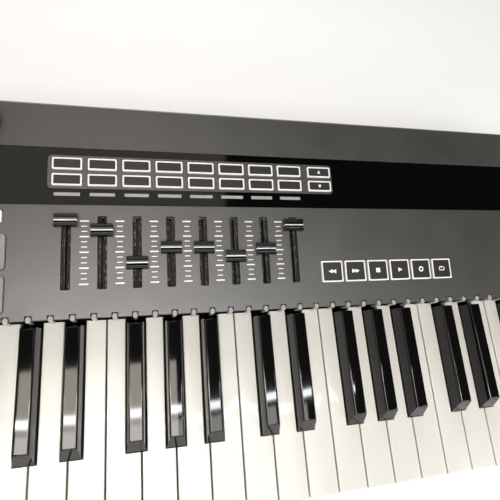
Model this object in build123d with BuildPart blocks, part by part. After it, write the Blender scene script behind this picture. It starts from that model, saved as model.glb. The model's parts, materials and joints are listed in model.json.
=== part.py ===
from build123d import *
import os
from math import cos, radians, sin, tan

os.makedirs("parts", exist_ok=True)

# 61-key MIDI controller keyboard: case, keybed, hinged keys, faders, knobs, wheels, buttons, sockets.
#
# Millimetres. +X runs to the player's right, +Y to the rear, +Z up. The origin is on the table, under
# the middle of the case. The control panel is one plane that rises to the rear: things on it are drawn
# in the panel plane, where x is the case's X, y is the distance s up the slope from the panel's front
# edge, and offsets below the surface are depths.

# ---- case ----
WIDTH = 981.0
DEPTH = 300.0
HALF_W = WIDTH / 2
HALF_D = DEPTH / 2
FOOT_H = 5.0
WALL = 3.0
TRAY_WALL = 2.5
TRAY_INSET = 1.0
SEAM_Z = 24.0
CORNER_R = 6.0
FLOOR_Z = FOOT_H + TRAY_WALL
SLOPE = 5.5
EDGE_Y = -14.0
EDGE_Z = 75.56
REAR_TOP_Y = 142.0
REAR_CHAMFER_Z = 78.0
LIP_BOTTOM = 64.0
LIP_T = 2.5

# ---- keys ----
OCTAVE = 164.5
PITCH = OCTAVE / 7
FIRST_X = -373.0
KEY_GAP = 1.1
WHITE_TOP = 60.0
WHITE_BOTTOM = 38.0
BLACK_TOP = 72.0
BLACK_BOTTOM = 42.0
BLACK_BASE_W = 13.2
BLACK_CREST_W = 9.8
BLACK_CUT_W = 14.6
BLACK_FRONT_Y = -103.8
BLACK_CREST_Y = -95.7
BLACK_CAP_REAR_Y = -17.5
NOTCH_Y = -104.6
WHITE_STEP_Y = (-105.6, -105.1)
BLACK_STEP_Y = (-100.0, -96.0)
CREST_ROUND = 1.5
TAIL_TOP = 56.0
TAIL_BOTTOM = 44.0
TAIL_REAR_Y = 57.5
SHELL = 2.0
ROOF = 2.5
PIVOT_Y = 45.0
PIVOT_Z = 50.0
BAR_R = 2.5
SADDLE_R = 2.55
SPRING_Y = 53.0
BLACK_CENTRES = {"cs": 21.2, "ds": 49.3, "fs": 90.6, "gs": 117.5, "as": 144.4}
WHITE_NAMES = ["c", "d", "e", "f", "g", "a", "b"]
LEFT_BLACK = {"d": "cs", "e": "ds", "g": "fs", "a": "gs", "b": "as"}
RIGHT_BLACK = {"c": "cs", "d": "ds", "f": "fs", "g": "gs", "a": "as"}
BAY_LEFT = FIRST_X - 1.2
BAY_RIGHT = FIRST_X + 36 * PITCH + 1.2

# ---- keybed ----
BED_LEFT = FIRST_X + 0.5
BED_RIGHT = FIRST_X + 36 * PITCH - 0.5
BED_PLATE_TOP = 9.5
WHITE_RAIL_TOP = 26.2
BLACK_RAIL_TOP = 32.0
FELT = 2.0

# ---- panel features, in X and s ----
BOARD_DEPTH = 13.0
BOARD_T = 1.6
STRIP_S = (80.3, 123.3)
STRIP_X = (-478.0, 478.0)
STRIP_DEPTH = 1.8
ISLAND_X = (-12.5, 206.5)
ISLAND_S = (92.5, 117.5)
FADER_X0 = 0.5
FADER_PITCH = 24.0
FADER_REST = [68.3, 61.2, 37.4, 48.3, 48.0, 41.1, 46.5, 65.2]
SLOT_S = (19.8, 72.4)
SLOT_W = 6.4
COLUMN_X0 = -282.0
COLUMN_PITCH = 33.0
KNOB_S = 140.0
LIGHT_BAR_S = 88.3
LIGHT_BAR = (17.3, 2.4)
SOFT_S = (98.9, 110.9)
SOFT_SIZE = (20.1, 8.8)
ARROW_X = 194.8
TRANSPORT_X0 = 199.4
TRANSPORT_PITCH = 20.45
TRANSPORT_S = 27.7
TRANSPORT_SIZE = (18.2, 17.0)
DISPLAY_BUTTON_S = 71.5
DISPLAY_BUTTON_SIZE = (22.0, 8.0)
PAD_S = (18.0, 47.0)
PAD_SIZE = (28.0, 24.0)
FUNCTION_X = (-352.0, -325.0)
FUNCTION_S = [14.0 + 14.4 * i for i in range(5)]
FUNCTION_SIZE = (20.0, 8.8)
OCTAVE_S = -16.0
WHEEL_X = (-453.0, -407.0)
BUTTON_PROUD = 1.2
BUTTON_GAP = 0.35
DISPLAY_X = [COLUMN_X0 + COLUMN_PITCH * (2 * i - 1.5) for i in range(5)]
DISPLAY_S = 101.8
DISPLAY_WINDOW = (60.0, 33.0)

# ---- wheels ----
WHEEL_Y = -75.0
WHEEL_Z = 44.0
WHEEL_R = 34.0
WHEEL_W = 15.0
AXLE_R = 3.0

# ---- rear wall ----
SOCKET_Z = 39.0
JACK_X = [-286.0, -264.0, -242.0]
MINI_X = [-180.0, -164.0, -148.0, -132.0, -116.0]
DIN_X = [60.0, 86.0, 112.0]
USB_X = 200.0
POWER_X = 240.0
SWITCH_X = 275.0
MAIN_BOARD_Z = 26.0

SCREW_XY = [(x, 110.0) for x in (-470, -330, -150, 150, 330, 470)]
SCREW_XY += [(-481.0, -138.0), (-383.0, -138.0), (-481.0, -16.0), (482.5, -138.0), (482.5, -16.0)]
FOOT_XY = [(x, y) for x in (-455.0, 0.0, 455.0) for y in (-126.0, 126.0)]

RISE = tan(radians(SLOPE))
COS = cos(radians(SLOPE))
SIN = sin(radians(SLOPE))
REAR_TOP_Z = EDGE_Z + (REAR_TOP_Y - EDGE_Y) * RISE
COLUMNS = [COLUMN_X0 + COLUMN_PITCH * i for i in range(8)]
FADERS = [FADER_X0 + FADER_PITCH * i for i in range(8)]
FELT_SLIT_W = 2.2


def panel(depth=0.0, x=0.0, s=0.0):
    """The panel plane, shifted down by depth, with its origin at (x, s)."""
    origin = (x, EDGE_Y + s * COS + depth * SIN, EDGE_Z + s * SIN - depth * COS)
    return Plane(origin=origin, x_dir=(1, 0, 0), z_dir=(0, -SIN, COS))


def panel_z(y):
    """Height of the panel's surface at y."""
    return EDGE_Z + (y - EDGE_Y) * RISE


def save(piece, name):
    piece.part.label = name
    export_step(piece.part, f"parts/{name}.step")


def block(x0, x1, y0, y1, z0, z1, mode=Mode.ADD):
    """A box between two corners, inside an open part."""
    with Locations(((x0 + x1) / 2, (y0 + y1) / 2, (z0 + z1) / 2)):
        Box(x1 - x0, y1 - y0, z1 - z0, mode=mode)


def grid(xs, ss):
    return [(x, s) for x in xs for s in ss]


SOFT_XY = grid(FADERS + [ARROW_X], SOFT_S)
TRANSPORT_XY = [(TRANSPORT_X0 + TRANSPORT_PITCH * i, TRANSPORT_S) for i in range(6)]
DISPLAY_BUTTON_XY = grid(COLUMNS, [DISPLAY_BUTTON_S])
PAD_XY = grid(COLUMNS, PAD_S)
FUNCTION_XY = grid(FUNCTION_X, FUNCTION_S)
OCTAVE_XY = grid(WHEEL_X, [OCTAVE_S])

# ---- light guides: one behind each key, evenly spaced ----
GUIDE_PITCH = OCTAVE / 12
GUIDE_OFFSET = 1.54
GUIDE_W = 3.5
GUIDE_FRONT_Y = EDGE_Y - 1.2
GUIDE_REAR_Y = EDGE_Y + 3.0
GUIDE_TOP = 76.2
NOTCH_GAP = 0.5
GUIDES = [FIRST_X + GUIDE_PITCH * (i + 0.5) + GUIDE_OFFSET for i in range(61)]


# ======================= case =======================
# The cavity inside the top case, with the walls beside the key bay left standing.
with BuildPart() as cavity:
    with BuildSketch(Plane.XY):
        RectangleRounded(WIDTH - 2 * WALL, DEPTH - 2 * WALL, CORNER_R - WALL)
    extrude(amount=120)
    with BuildSketch(Plane.YZ):
        with BuildLine():
            Polyline(
                (-HALF_D, 0),
                (-HALF_D, panel_z(-HALF_D) - WALL / COS),
                (REAR_TOP_Y - 1.2, panel_z(REAR_TOP_Y - 1.2) - WALL / COS),
                (HALF_D - WALL, REAR_CHAMFER_Z - 1.5),
                (HALF_D - WALL, 0),
                close=True,
            )
        make_face()
    extrude(amount=HALF_W, both=True, mode=Mode.INTERSECT)
    block(BAY_LEFT - WALL, BAY_LEFT, -HALF_D, EDGE_Y + LIP_T, -1, 121, mode=Mode.SUBTRACT)
    block(BAY_RIGHT, BAY_RIGHT + WALL, -HALF_D, EDGE_Y + LIP_T, -1, 121, mode=Mode.SUBTRACT)
    block(BAY_LEFT - 1, BAY_RIGHT + 1, -HALF_D, EDGE_Y + LIP_T, -1, 121, mode=Mode.SUBTRACT)

with BuildPart() as top_case:
    with BuildSketch(Plane.XY.offset(SEAM_Z)):
        RectangleRounded(WIDTH, DEPTH, CORNER_R)
    extrude(amount=90)
    with BuildSketch(Plane.YZ):
        with BuildLine():
            Polyline(
                (-HALF_D, SEAM_Z),
                (-HALF_D, panel_z(-HALF_D)),
                (REAR_TOP_Y, REAR_TOP_Z),
                (HALF_D, REAR_CHAMFER_Z),
                (HALF_D, SEAM_Z),
                close=True,
            )
        make_face()
    extrude(amount=HALF_W, both=True, mode=Mode.INTERSECT)
    rim = top_case.edges().filter_by(lambda e: e.center().Z > 60 and not e.is_interior)
    chamfer(rim, 0.9)
    add(cavity.part, mode=Mode.SUBTRACT)
    # key bay, open to the front, and the opening under the panel's front lip
    block(BAY_LEFT, BAY_RIGHT, -HALF_D - 1, EDGE_Y, SEAM_Z - 1, 110, mode=Mode.SUBTRACT)
    block(BAY_LEFT, BAY_RIGHT, EDGE_Y - 1, EDGE_Y + LIP_T + 1, SEAM_Z - 1, LIP_BOTTOM, mode=Mode.SUBTRACT)
    bay_rear = top_case.edges().sort_by_distance((0, EDGE_Y, EDGE_Z))[0]
    bay_left = top_case.edges().sort_by_distance((BAY_LEFT, -80, panel_z(-80)))[0]
    bay_right = top_case.edges().sort_by_distance((BAY_RIGHT, -80, panel_z(-80)))[0]
    chamfer([bay_rear, bay_left, bay_right], 0.5)
    # one notch for each light guide, through the lip
    with BuildSketch(Plane.XY.offset(LIP_BOTTOM - 1)):
        with Locations(*[(x, EDGE_Y + 1.5) for x in GUIDES]):
            Rectangle(GUIDE_W + 2 * NOTCH_GAP, 4.0)
        with Locations(*[(x, EDGE_Y - 1) for x in GUIDES]):
            Rectangle(GUIDE_W + 2 * NOTCH_GAP, 3.0)
    extrude(amount=20, mode=Mode.SUBTRACT)
    # shallow recess for the gloss strip, around the button island
    with BuildSketch(panel()):
        with Locations(((STRIP_X[0] + STRIP_X[1]) / 2, sum(STRIP_S) / 2)):
            Rectangle(STRIP_X[1] - STRIP_X[0], STRIP_S[1] - STRIP_S[0])
        with Locations((sum(ISLAND_X) / 2, sum(ISLAND_S) / 2)):
            RectangleRounded(ISLAND_X[1] - ISLAND_X[0], ISLAND_S[1] - ISLAND_S[0], 3, mode=Mode.SUBTRACT)
    extrude(amount=-STRIP_DEPTH, mode=Mode.SUBTRACT)
    # every opening through the panel
    with BuildSketch(panel(depth=-1)):
        with Locations(*[(x, sum(SLOT_S) / 2) for x in FADERS]):
            RectangleRounded(SLOT_W, SLOT_S[1] - SLOT_S[0], 1.2)
        with Locations(*[(x, LIGHT_BAR_S) for x in FADERS]):
            Rectangle(LIGHT_BAR[0] + 0.2, LIGHT_BAR[1] + 0.2)
        with Locations(*SOFT_XY):
            Rectangle(SOFT_SIZE[0] + 2 * BUTTON_GAP, SOFT_SIZE[1] + 2 * BUTTON_GAP)
        with Locations(*TRANSPORT_XY):
            Rectangle(TRANSPORT_SIZE[0] + 2 * BUTTON_GAP, TRANSPORT_SIZE[1] + 2 * BUTTON_GAP)
        with Locations(*DISPLAY_BUTTON_XY):
            Rectangle(DISPLAY_BUTTON_SIZE[0] + 2 * BUTTON_GAP, DISPLAY_BUTTON_SIZE[1] + 2 * BUTTON_GAP)
        with Locations(*PAD_XY):
            RectangleRounded(PAD_SIZE[0] + 2 * BUTTON_GAP, PAD_SIZE[1] + 2 * BUTTON_GAP, 2)
        with Locations(*(FUNCTION_XY + OCTAVE_XY)):
            Rectangle(FUNCTION_SIZE[0] + 2 * BUTTON_GAP, FUNCTION_SIZE[1] + 2 * BUTTON_GAP)
        with Locations(*[(x, KNOB_S) for x in COLUMNS]):
            Circle(3.7)
        with Locations(*[(x, DISPLAY_S) for x in DISPLAY_X]):
            Rectangle(*DISPLAY_WINDOW)
        wheel_s = (WHEEL_Y - EDGE_Y) * COS + (WHEEL_Z - EDGE_Z) * SIN
        with Locations(*[(x, wheel_s) for x in WHEEL_X]):
            RectangleRounded(WHEEL_W + 3, 55, 2)
    extrude(amount=-(WALL + 2), mode=Mode.SUBTRACT)
    # screw bosses, down to the tray's floor
    for boss_x, boss_y in SCREW_XY:
        with BuildSketch(Plane.XY.offset(FLOOR_Z)):
            with Locations((boss_x, boss_y)):
                Circle(3.6)
        extrude(amount=panel_z(boss_y) - 2.5 - FLOOR_Z)
    with BuildSketch(Plane.XY.offset(FLOOR_Z)):
        with Locations(*SCREW_XY):
            Circle(1.35)
    extrude(amount=12, mode=Mode.SUBTRACT)
    # holes in the rear wall
    with BuildSketch(Plane.XZ.offset(-HALF_D - 1)):
        with Locations(*[(x, SOCKET_Z) for x in JACK_X]):
            Circle(5.0)
        with Locations(*[(x, SOCKET_Z) for x in MINI_X]):
            Circle(3.5)
        with Locations(*[(x, SOCKET_Z) for x in DIN_X]):
            Circle(9.0)
        with Locations((USB_X, SOCKET_Z)):
            Rectangle(12.6, 11.6)
        with Locations((POWER_X, SOCKET_Z)):
            Circle(5.5)
        with Locations((SWITCH_X, SOCKET_Z)):
            Rectangle(14.4, 21.4)
    extrude(amount=WALL + 2, mode=Mode.SUBTRACT)
save(top_case, "top_case")

with BuildPart() as bottom_case:
    tray_w = WIDTH - 2 * TRAY_INSET
    tray_d = DEPTH - 2 * TRAY_INSET
    with BuildSketch(Plane.XY.offset(FOOT_H)):
        RectangleRounded(tray_w, tray_d, CORNER_R - TRAY_INSET)
    extrude(amount=SEAM_Z - FOOT_H)
    chamfer(bottom_case.faces().sort_by(Axis.Z)[0].edges(), 1.5)
    with BuildSketch(Plane.XY.offset(FLOOR_Z)):
        RectangleRounded(tray_w - 2 * TRAY_WALL, tray_d - 2 * TRAY_WALL, CORNER_R - TRAY_INSET - TRAY_WALL)
    extrude(amount=SEAM_Z, mode=Mode.SUBTRACT)
    # front rail under the keys
    rail_y = -HALF_D + TRAY_INSET
    block(BAY_LEFT + 0.5, BAY_RIGHT - 0.5, rail_y, rail_y + TRAY_WALL, SEAM_Z, SEAM_Z + 3)
    # standoffs under the main board
    with BuildSketch(Plane.XY.offset(FLOOR_Z)):
        with Locations(*[(x, y) for x in (-290, -60, 20, 290) for y in (101, 141)]):
            Circle(3.5)
    extrude(amount=MAIN_BOARD_Z - FLOOR_Z)
    # screw holes, counterbored from below
    with BuildSketch(Plane.XY.offset(FOOT_H - 1)):
        with Locations(*SCREW_XY):
            Circle(1.7)
    extrude(amount=10, mode=Mode.SUBTRACT)
    with BuildSketch(Plane.XY.offset(FOOT_H - 1)):
        with Locations(*SCREW_XY):
            Circle(3.2)
    extrude(amount=2.2, mode=Mode.SUBTRACT)
    # ventilation slots near the rear
    with BuildSketch(Plane.XY.offset(FOOT_H - 1)):
        with Locations(*[(x, 84.0) for x in range(-110, 111, 10)]):
            SlotOverall(26, 2.4, rotation=90)
    extrude(amount=10, mode=Mode.SUBTRACT)
save(bottom_case, "bottom_case")

with BuildPart() as case_screws:
    with BuildSketch(Plane.XY.offset(FOOT_H + 0.2)):
        with Locations(*SCREW_XY):
            Circle(2.8)
    extrude(amount=1.0)
    with BuildSketch(Plane.XY.offset(FOOT_H + 1.2)):
        with Locations(*SCREW_XY):
            Circle(1.3)
    extrude(amount=12.0)
    with BuildSketch(Plane.XY.offset(FOOT_H)):
        with Locations(*SCREW_XY):
            Rectangle(2.6, 0.6)
            Rectangle(0.6, 2.6)
    extrude(amount=0.8, mode=Mode.SUBTRACT)
save(case_screws, "case_screws")

with BuildPart() as rubber_feet:
    with BuildSketch(Plane.XY):
        with Locations(*FOOT_XY):
            Circle(10)
    extrude(amount=FOOT_H)
    chamfer(rubber_feet.faces().sort_by(Axis.Z)[:6].edges(), 1.0)
save(rubber_feet, "rubber_feet")

with BuildPart() as gloss_strip:
    with BuildSketch(panel(depth=STRIP_DEPTH)):
        with Locations((0, sum(STRIP_S) / 2)):
            Rectangle(STRIP_X[1] - STRIP_X[0] - 0.4, STRIP_S[1] - STRIP_S[0] - 0.4)
        with Locations((sum(ISLAND_X) / 2, sum(ISLAND_S) / 2)):
            RectangleRounded(
                ISLAND_X[1] - ISLAND_X[0] + 0.4, ISLAND_S[1] - ISLAND_S[0] + 0.4, 3.2, mode=Mode.SUBTRACT
            )
        with Locations(*[(x, LIGHT_BAR_S) for x in FADERS]):
            Rectangle(LIGHT_BAR[0] + 0.2, LIGHT_BAR[1] + 0.2, mode=Mode.SUBTRACT)
    extrude(amount=STRIP_DEPTH - 0.05)
save(gloss_strip, "gloss_strip")

with BuildPart() as displays:
    with BuildSketch(panel(depth=5.0)):
        with Locations(*[(x, DISPLAY_S) for x in DISPLAY_X]):
            Rectangle(DISPLAY_WINDOW[0] - 1, DISPLAY_WINDOW[1] - 1)
    extrude(amount=3.0)
save(displays, "displays")


# ======================= keys =======================
def side_profile(kind, top, bottom, front):
    """Outline of a key seen from the side, as (Y, Z) points."""
    if kind == "white":
        nose = [(front, bottom), (front, top), (EDGE_Y + 1.5, top), (EDGE_Y + 1.5, TAIL_TOP)]
        step = WHITE_STEP_Y
    else:
        step = BLACK_STEP_Y
        nose = [(front, bottom), (front, WHITE_TOP + 0.5), (BLACK_CREST_Y, top), (BLACK_CAP_REAR_Y, top)]
        nose += [(BLACK_CAP_REAR_Y, WHITE_TOP - 0.5), (EDGE_Y, TAIL_TOP)]
    return nose + [(TAIL_REAR_Y, TAIL_TOP), (TAIL_REAR_Y, TAIL_BOTTOM), (step[1], TAIL_BOTTOM), (step[0], bottom)]


def inner_profile(kind, top, front):
    """The hollow under a key's roof, as (Y, Z) points."""
    if kind == "white":
        roof = [(front + SHELL, top - ROOF), (EDGE_Y - 1, top - ROOF), (EDGE_Y - 1, TAIL_TOP - ROOF)]
    else:
        roof = [(front + 3.5, WHITE_TOP - 2), (BLACK_CREST_Y + 2, top - ROOF), (-20.0, top - ROOF)]
        roof += [(-20.0, TAIL_TOP - ROOF)]
    bottom = WHITE_BOTTOM - 5
    return [(roof[0][0], bottom)] + roof + [(TAIL_REAR_Y - SHELL, TAIL_TOP - ROOF), (TAIL_REAR_Y - SHELL, bottom)]


def key_hollow(outline, inset, profile):
    with BuildPart() as hollow:
        with BuildSketch(Plane.XY):
            with BuildLine():
                Polyline(*outline, close=True)
            make_face()
            offset(amount=-inset, kind=Kind.INTERSECTION, mode=Mode.REPLACE)
        extrude(amount=120)
        with BuildSketch(Plane.YZ):
            with BuildLine():
                Polyline(*profile, close=True)
            make_face()
        extrude(amount=250, both=True, mode=Mode.INTERSECT)
    return hollow.part


def key_fittings(x, roof_z, hook_y, hook_z):
    """Switch plunger, up-stop hook with its toe, saddle cut and spring hole of one key."""
    block(x - 2.5, x + 2.5, -52, -48, 26.5, roof_z)
    block(x - 3, x + 3, hook_y, hook_y + 3, hook_z, roof_z)
    block(x - 3, x + 3, hook_y - 3.6, hook_y, hook_z, hook_z + 2)
    with BuildSketch(Plane.YZ.offset(x - 15)) as saddle:
        with Locations((PIVOT_Y, PIVOT_Z)):
            Circle(SADDLE_R)
        with Locations((PIVOT_Y, PIVOT_Z - 5)):
            Rectangle(2 * SADDLE_R, 10)
    extrude(saddle.sketch, amount=30, mode=Mode.SUBTRACT)
    with BuildSketch(Plane.XY.offset(TAIL_TOP - 5)) as spring_hole:
        with Locations((x, SPRING_Y)):
            Circle(1.2)
    extrude(spring_hole.sketch, amount=10, mode=Mode.SUBTRACT)


WHITE_HOOK = (-124.4, 20.0)
BLACK_HOOK = (-87.4, 25.8)


def white_span(note, last=False):
    """X limits of a white key's head and tail, from the octave's left edge."""
    index = WHITE_NAMES.index(note)
    head = (index * PITCH + KEY_GAP / 2, (index + 1) * PITCH - KEY_GAP / 2)
    low = head[0]
    high = head[1]
    if note in LEFT_BLACK:
        low = BLACK_CENTRES[LEFT_BLACK[note]] + BLACK_CUT_W / 2
    if note in RIGHT_BLACK and not last:
        high = BLACK_CENTRES[RIGHT_BLACK[note]] - BLACK_CUT_W / 2
    return head, (low, high)


def white_key(note, last=False):
    """One white key of the octave whose left edge is at X = 0."""
    head, tail = white_span(note, last)
    outline = [(head[0], -HALF_D), (head[1], -HALF_D), (head[1], NOTCH_Y)]
    if tail[1] < head[1]:
        outline += [(tail[1], NOTCH_Y)]
    outline += [(tail[1], TAIL_REAR_Y), (tail[0], TAIL_REAR_Y)]
    if tail[0] > head[0]:
        outline += [(tail[0], NOTCH_Y)]
        outline += [(head[0], NOTCH_Y)]
    hollow = key_hollow(outline, SHELL, inner_profile("white", WHITE_TOP, -HALF_D))
    with BuildPart() as key:
        with BuildSketch(Plane.XY):
            with BuildLine():
                Polyline(*outline, close=True)
            make_face()
        extrude(amount=120)
        with BuildSketch(Plane.YZ):
            with BuildLine():
                Polyline(*side_profile("white", WHITE_TOP, WHITE_BOTTOM, -HALF_D), close=True)
            make_face()
        extrude(amount=250, both=True, mode=Mode.INTERSECT)
        roof_edges = key.faces().sort_by(Axis.Z)[-1].edges()
        fillet(roof_edges.sort_by(Axis.Y)[0], 1.6)
        fillet(key.faces().sort_by(Axis.Z)[-1].edges().filter_by(Axis.Y), 0.6)
        add(hollow, mode=Mode.SUBTRACT)
        key_fittings((tail[0] + tail[1]) / 2, WHITE_TOP - ROOF + 0.5, *WHITE_HOOK)
    return key.part


def black_key(note):
    """One black key of the octave whose left edge is at X = 0."""
    x = BLACK_CENTRES[note]
    half = BLACK_BASE_W / 2
    outline = [(x - half, BLACK_FRONT_Y), (x + half, BLACK_FRONT_Y), (x + half, TAIL_REAR_Y), (x - half, TAIL_REAR_Y)]
    hollow = key_hollow(outline, SHELL + 0.6, inner_profile("black", BLACK_TOP, BLACK_FRONT_Y))
    with BuildPart() as key:
        with BuildSketch(Plane.XZ.offset(-TAIL_REAR_Y)):
            with BuildLine():
                Polyline(
                    (x - half, 0),
                    (x + half, 0),
                    (x + half, WHITE_TOP + 0.5),
                    (x + BLACK_CREST_W / 2, BLACK_TOP),
                    (x - BLACK_CREST_W / 2, BLACK_TOP),
                    (x - half, WHITE_TOP + 0.5),
                    close=True,
                )
            make_face()
        extrude(amount=TAIL_REAR_Y - BLACK_FRONT_Y)
        with BuildSketch(Plane.YZ):
            with BuildLine():
                Polyline(*side_profile("black", BLACK_TOP, BLACK_BOTTOM, BLACK_FRONT_Y), close=True)
            make_face()
        extrude(amount=250, both=True, mode=Mode.INTERSECT)
        fillet(key.faces().sort_by(Axis.Z)[-1].edges(), CREST_ROUND)
        add(hollow, mode=Mode.SUBTRACT)
        key_fittings(x, BLACK_TOP - ROOF + 0.5, *BLACK_HOOK)
    return key.part


WHITE_SHAPES = {note: white_key(note) for note in WHITE_NAMES}
BLACK_SHAPES = {note: black_key(note) for note in BLACK_CENTRES}
TOP_C = white_key("c", last=True)


def save_keys(name, shapes, octaves):
    """One node of keys: each shape repeated in each octave, counted from 1."""
    with BuildPart() as keys:
        with Locations(*[(FIRST_X + OCTAVE * (octave - 1), 0, 0) for octave in octaves]):
            add(shapes)
    save(keys, name)


for note in WHITE_NAMES:
    save_keys(f"key_{note}4", [WHITE_SHAPES[note]], [4])
for note in BLACK_CENTRES:
    save_keys(f"key_{note}4", [BLACK_SHAPES[note]], [4])
save_keys("white_keys_low", list(WHITE_SHAPES.values()), [1, 2, 3])
save_keys("black_keys_low", list(BLACK_SHAPES.values()), [1, 2, 3])
save_keys("black_keys_high", list(BLACK_SHAPES.values()), [5])
HIGH_SHAPES = list(WHITE_SHAPES.values()) + [TOP_C.moved(Location((OCTAVE, 0, 0)))]
save_keys("white_keys_high", HIGH_SHAPES, [5])

WHITE_MIDDLES = []
BLACK_MIDDLES = []
for octave in range(5):
    left = FIRST_X + OCTAVE * octave
    WHITE_MIDDLES += [left + sum(white_span(note)[1]) / 2 for note in WHITE_NAMES]
    BLACK_MIDDLES += [left + centre for centre in BLACK_CENTRES.values()]
WHITE_MIDDLES += [FIRST_X + OCTAVE * 5 + sum(white_span("c", True)[1]) / 2]

# ======================= keybed =======================
with BuildPart() as keybed_frame:
    with BuildSketch(Plane.YZ.offset(BED_LEFT)):
        with BuildLine():
            Polyline((-141, FLOOR_Z), (58, FLOOR_Z), (58, BED_PLATE_TOP), (-141, BED_PLATE_TOP), close=True)
        make_face()
        with Locations((-140, (FLOOR_Z + WHITE_RAIL_TOP) / 2)):
            Rectangle(2, WHITE_RAIL_TOP - FLOOR_Z)
        with Locations((-133, WHITE_RAIL_TOP - 1)):
            Rectangle(16, 2)
        with Locations((-103, (FLOOR_Z + BLACK_RAIL_TOP) / 2)):
            Rectangle(2, BLACK_RAIL_TOP - FLOOR_Z)
        with Locations((-96, BLACK_RAIL_TOP - 1)):
            Rectangle(16, 2)
        with Locations((PIVOT_Y, (FLOOR_Z + PIVOT_Z) / 2)):
            Rectangle(2, PIVOT_Z - FLOOR_Z)
        with Locations((PIVOT_Y, PIVOT_Z)):
            Circle(BAR_R)
    extrude(amount=BED_RIGHT - BED_LEFT)
    # guide posts, one inside each key
    with BuildSketch(Plane.XY.offset(WHITE_RAIL_TOP - 1)):
        with Locations(*[(x, -134) for x in WHITE_MIDDLES]):
            RectangleRounded(6.5, 5, 1)
    extrude(amount=44 - WHITE_RAIL_TOP + 1)
    with BuildSketch(Plane.XY.offset(BLACK_RAIL_TOP - 1)):
        with Locations(*[(x, -95) for x in BLACK_MIDDLES]):
            RectangleRounded(5, 5, 1)
    extrude(amount=47 - BLACK_RAIL_TOP + 1)
    # two ribs that carry the contact board
    for rib_y in (-68, -31):
        block(BED_LEFT, BED_RIGHT, rib_y - 1, rib_y + 1, BED_PLATE_TOP, 14)
save(keybed_frame, "keybed_frame")


def felt_strip(y0, y1, z0, z1, holes, hole_size):
    """A felt strip along the rail, with a hole around each guide post."""
    block(BED_LEFT, BED_RIGHT, y0, y1, z0, z1)
    if holes:
        with BuildSketch(Plane.XY.offset(z0 - 1)) as post_holes:
            with Locations(*holes):
                Rectangle(*hole_size)
        extrude(post_holes.sketch, amount=z1 - z0 + 2, mode=Mode.SUBTRACT)


with BuildPart() as key_felts:
    felt_strip(-141, -125, WHITE_RAIL_TOP, WHITE_RAIL_TOP + FELT, [(x, -134) for x in WHITE_MIDDLES], (7.5, 6))
    felt_strip(-104, -88, BLACK_RAIL_TOP, BLACK_RAIL_TOP + FELT, [(x, -95) for x in BLACK_MIDDLES], (6, 6))
    felt_strip(-131, -125, WHITE_RAIL_TOP - 2 - 1.8, WHITE_RAIL_TOP - 2, [], None)
    felt_strip(-94, -88, BLACK_RAIL_TOP - 2 - 1.8, BLACK_RAIL_TOP - 2, [], None)
save(key_felts, "key_felts")

ALL_MIDDLES = WHITE_MIDDLES + BLACK_MIDDLES
with BuildPart() as key_springs:
    with BuildSketch(Plane.XY.offset(BED_PLATE_TOP)):
        with Locations(*[(x, SPRING_Y) for x in ALL_MIDDLES]):
            Circle(2.2)
    extrude(amount=32)
    with BuildSketch(Plane.XY.offset(BED_PLATE_TOP + 3)):
        with Locations(*[(x, SPRING_Y) for x in ALL_MIDDLES]):
            Circle(1.5)
    extrude(amount=26, mode=Mode.SUBTRACT)
    with BuildSketch(Plane.XY.offset(BED_PLATE_TOP + 32)):
        with Locations(*[(x, SPRING_Y) for x in ALL_MIDDLES]):
            Circle(0.5)
    extrude(amount=16.5)
save(key_springs, "key_springs")

with BuildPart() as contact_board:
    block(BED_LEFT, BED_RIGHT, -70, -29, 14, 15.6)
save(contact_board, "contact_board")

with BuildPart() as contact_strip:
    block(BED_LEFT, BED_RIGHT, -62, -38, 15.6, 16.8)
    with BuildSketch(Plane.XY.offset(16.8)):
        with Locations(*[(x, -50) for x in ALL_MIDDLES]):
            Circle(3.6)
    extrude(amount=4.0, taper=18)
save(contact_strip, "contact_strip")

# ======================= light guides and boards =======================
with BuildPart() as light_guides:
    with BuildSketch(Plane.XY.offset(LIP_BOTTOM + 1)):
        with Locations(*[(x, (GUIDE_FRONT_Y + GUIDE_REAR_Y) / 2) for x in GUIDES]):
            SlotOverall(GUIDE_REAR_Y - GUIDE_FRONT_Y, GUIDE_W, rotation=90)
    extrude(amount=GUIDE_TOP - LIP_BOTTOM - 1)
    fillet(light_guides.faces().sort_by(Axis.Z)[-61:].edges(), 0.7)
    for guide_x in GUIDES:
        block(guide_x - 1.5, guide_x + 1.5, GUIDE_REAR_Y - 1.5, GUIDE_REAR_Y + 4, 63.4, 66.5)
    with BuildSketch(panel(depth=0.02)):
        with Locations(*[(x, LIGHT_BAR_S) for x in FADERS]):
            Rectangle(*LIGHT_BAR)
    extrude(amount=-(BOARD_DEPTH - 0.02))
save(light_guides, "light_guides")

BOSS_HOLE_R = 4.4
with BuildPart() as control_board:
    with BuildSketch(panel(depth=BOARD_DEPTH)):
        with Locations(((BAY_LEFT + BAY_RIGHT) / 2, 60.5)):
            Rectangle(BAY_RIGHT - BAY_LEFT - 4, 116)
        with Locations(((COLUMNS[0] + COLUMNS[-1]) / 2, KNOB_S)):
            Rectangle(COLUMNS[-1] - COLUMNS[0] + 20, 20)
        with Locations((sum(WHEEL_X) / 2, OCTAVE_S)):
            Rectangle(WHEEL_X[1] - WHEEL_X[0] + 24, 14)
    extrude(amount=-BOARD_T)
save(control_board, "control_board")

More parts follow.
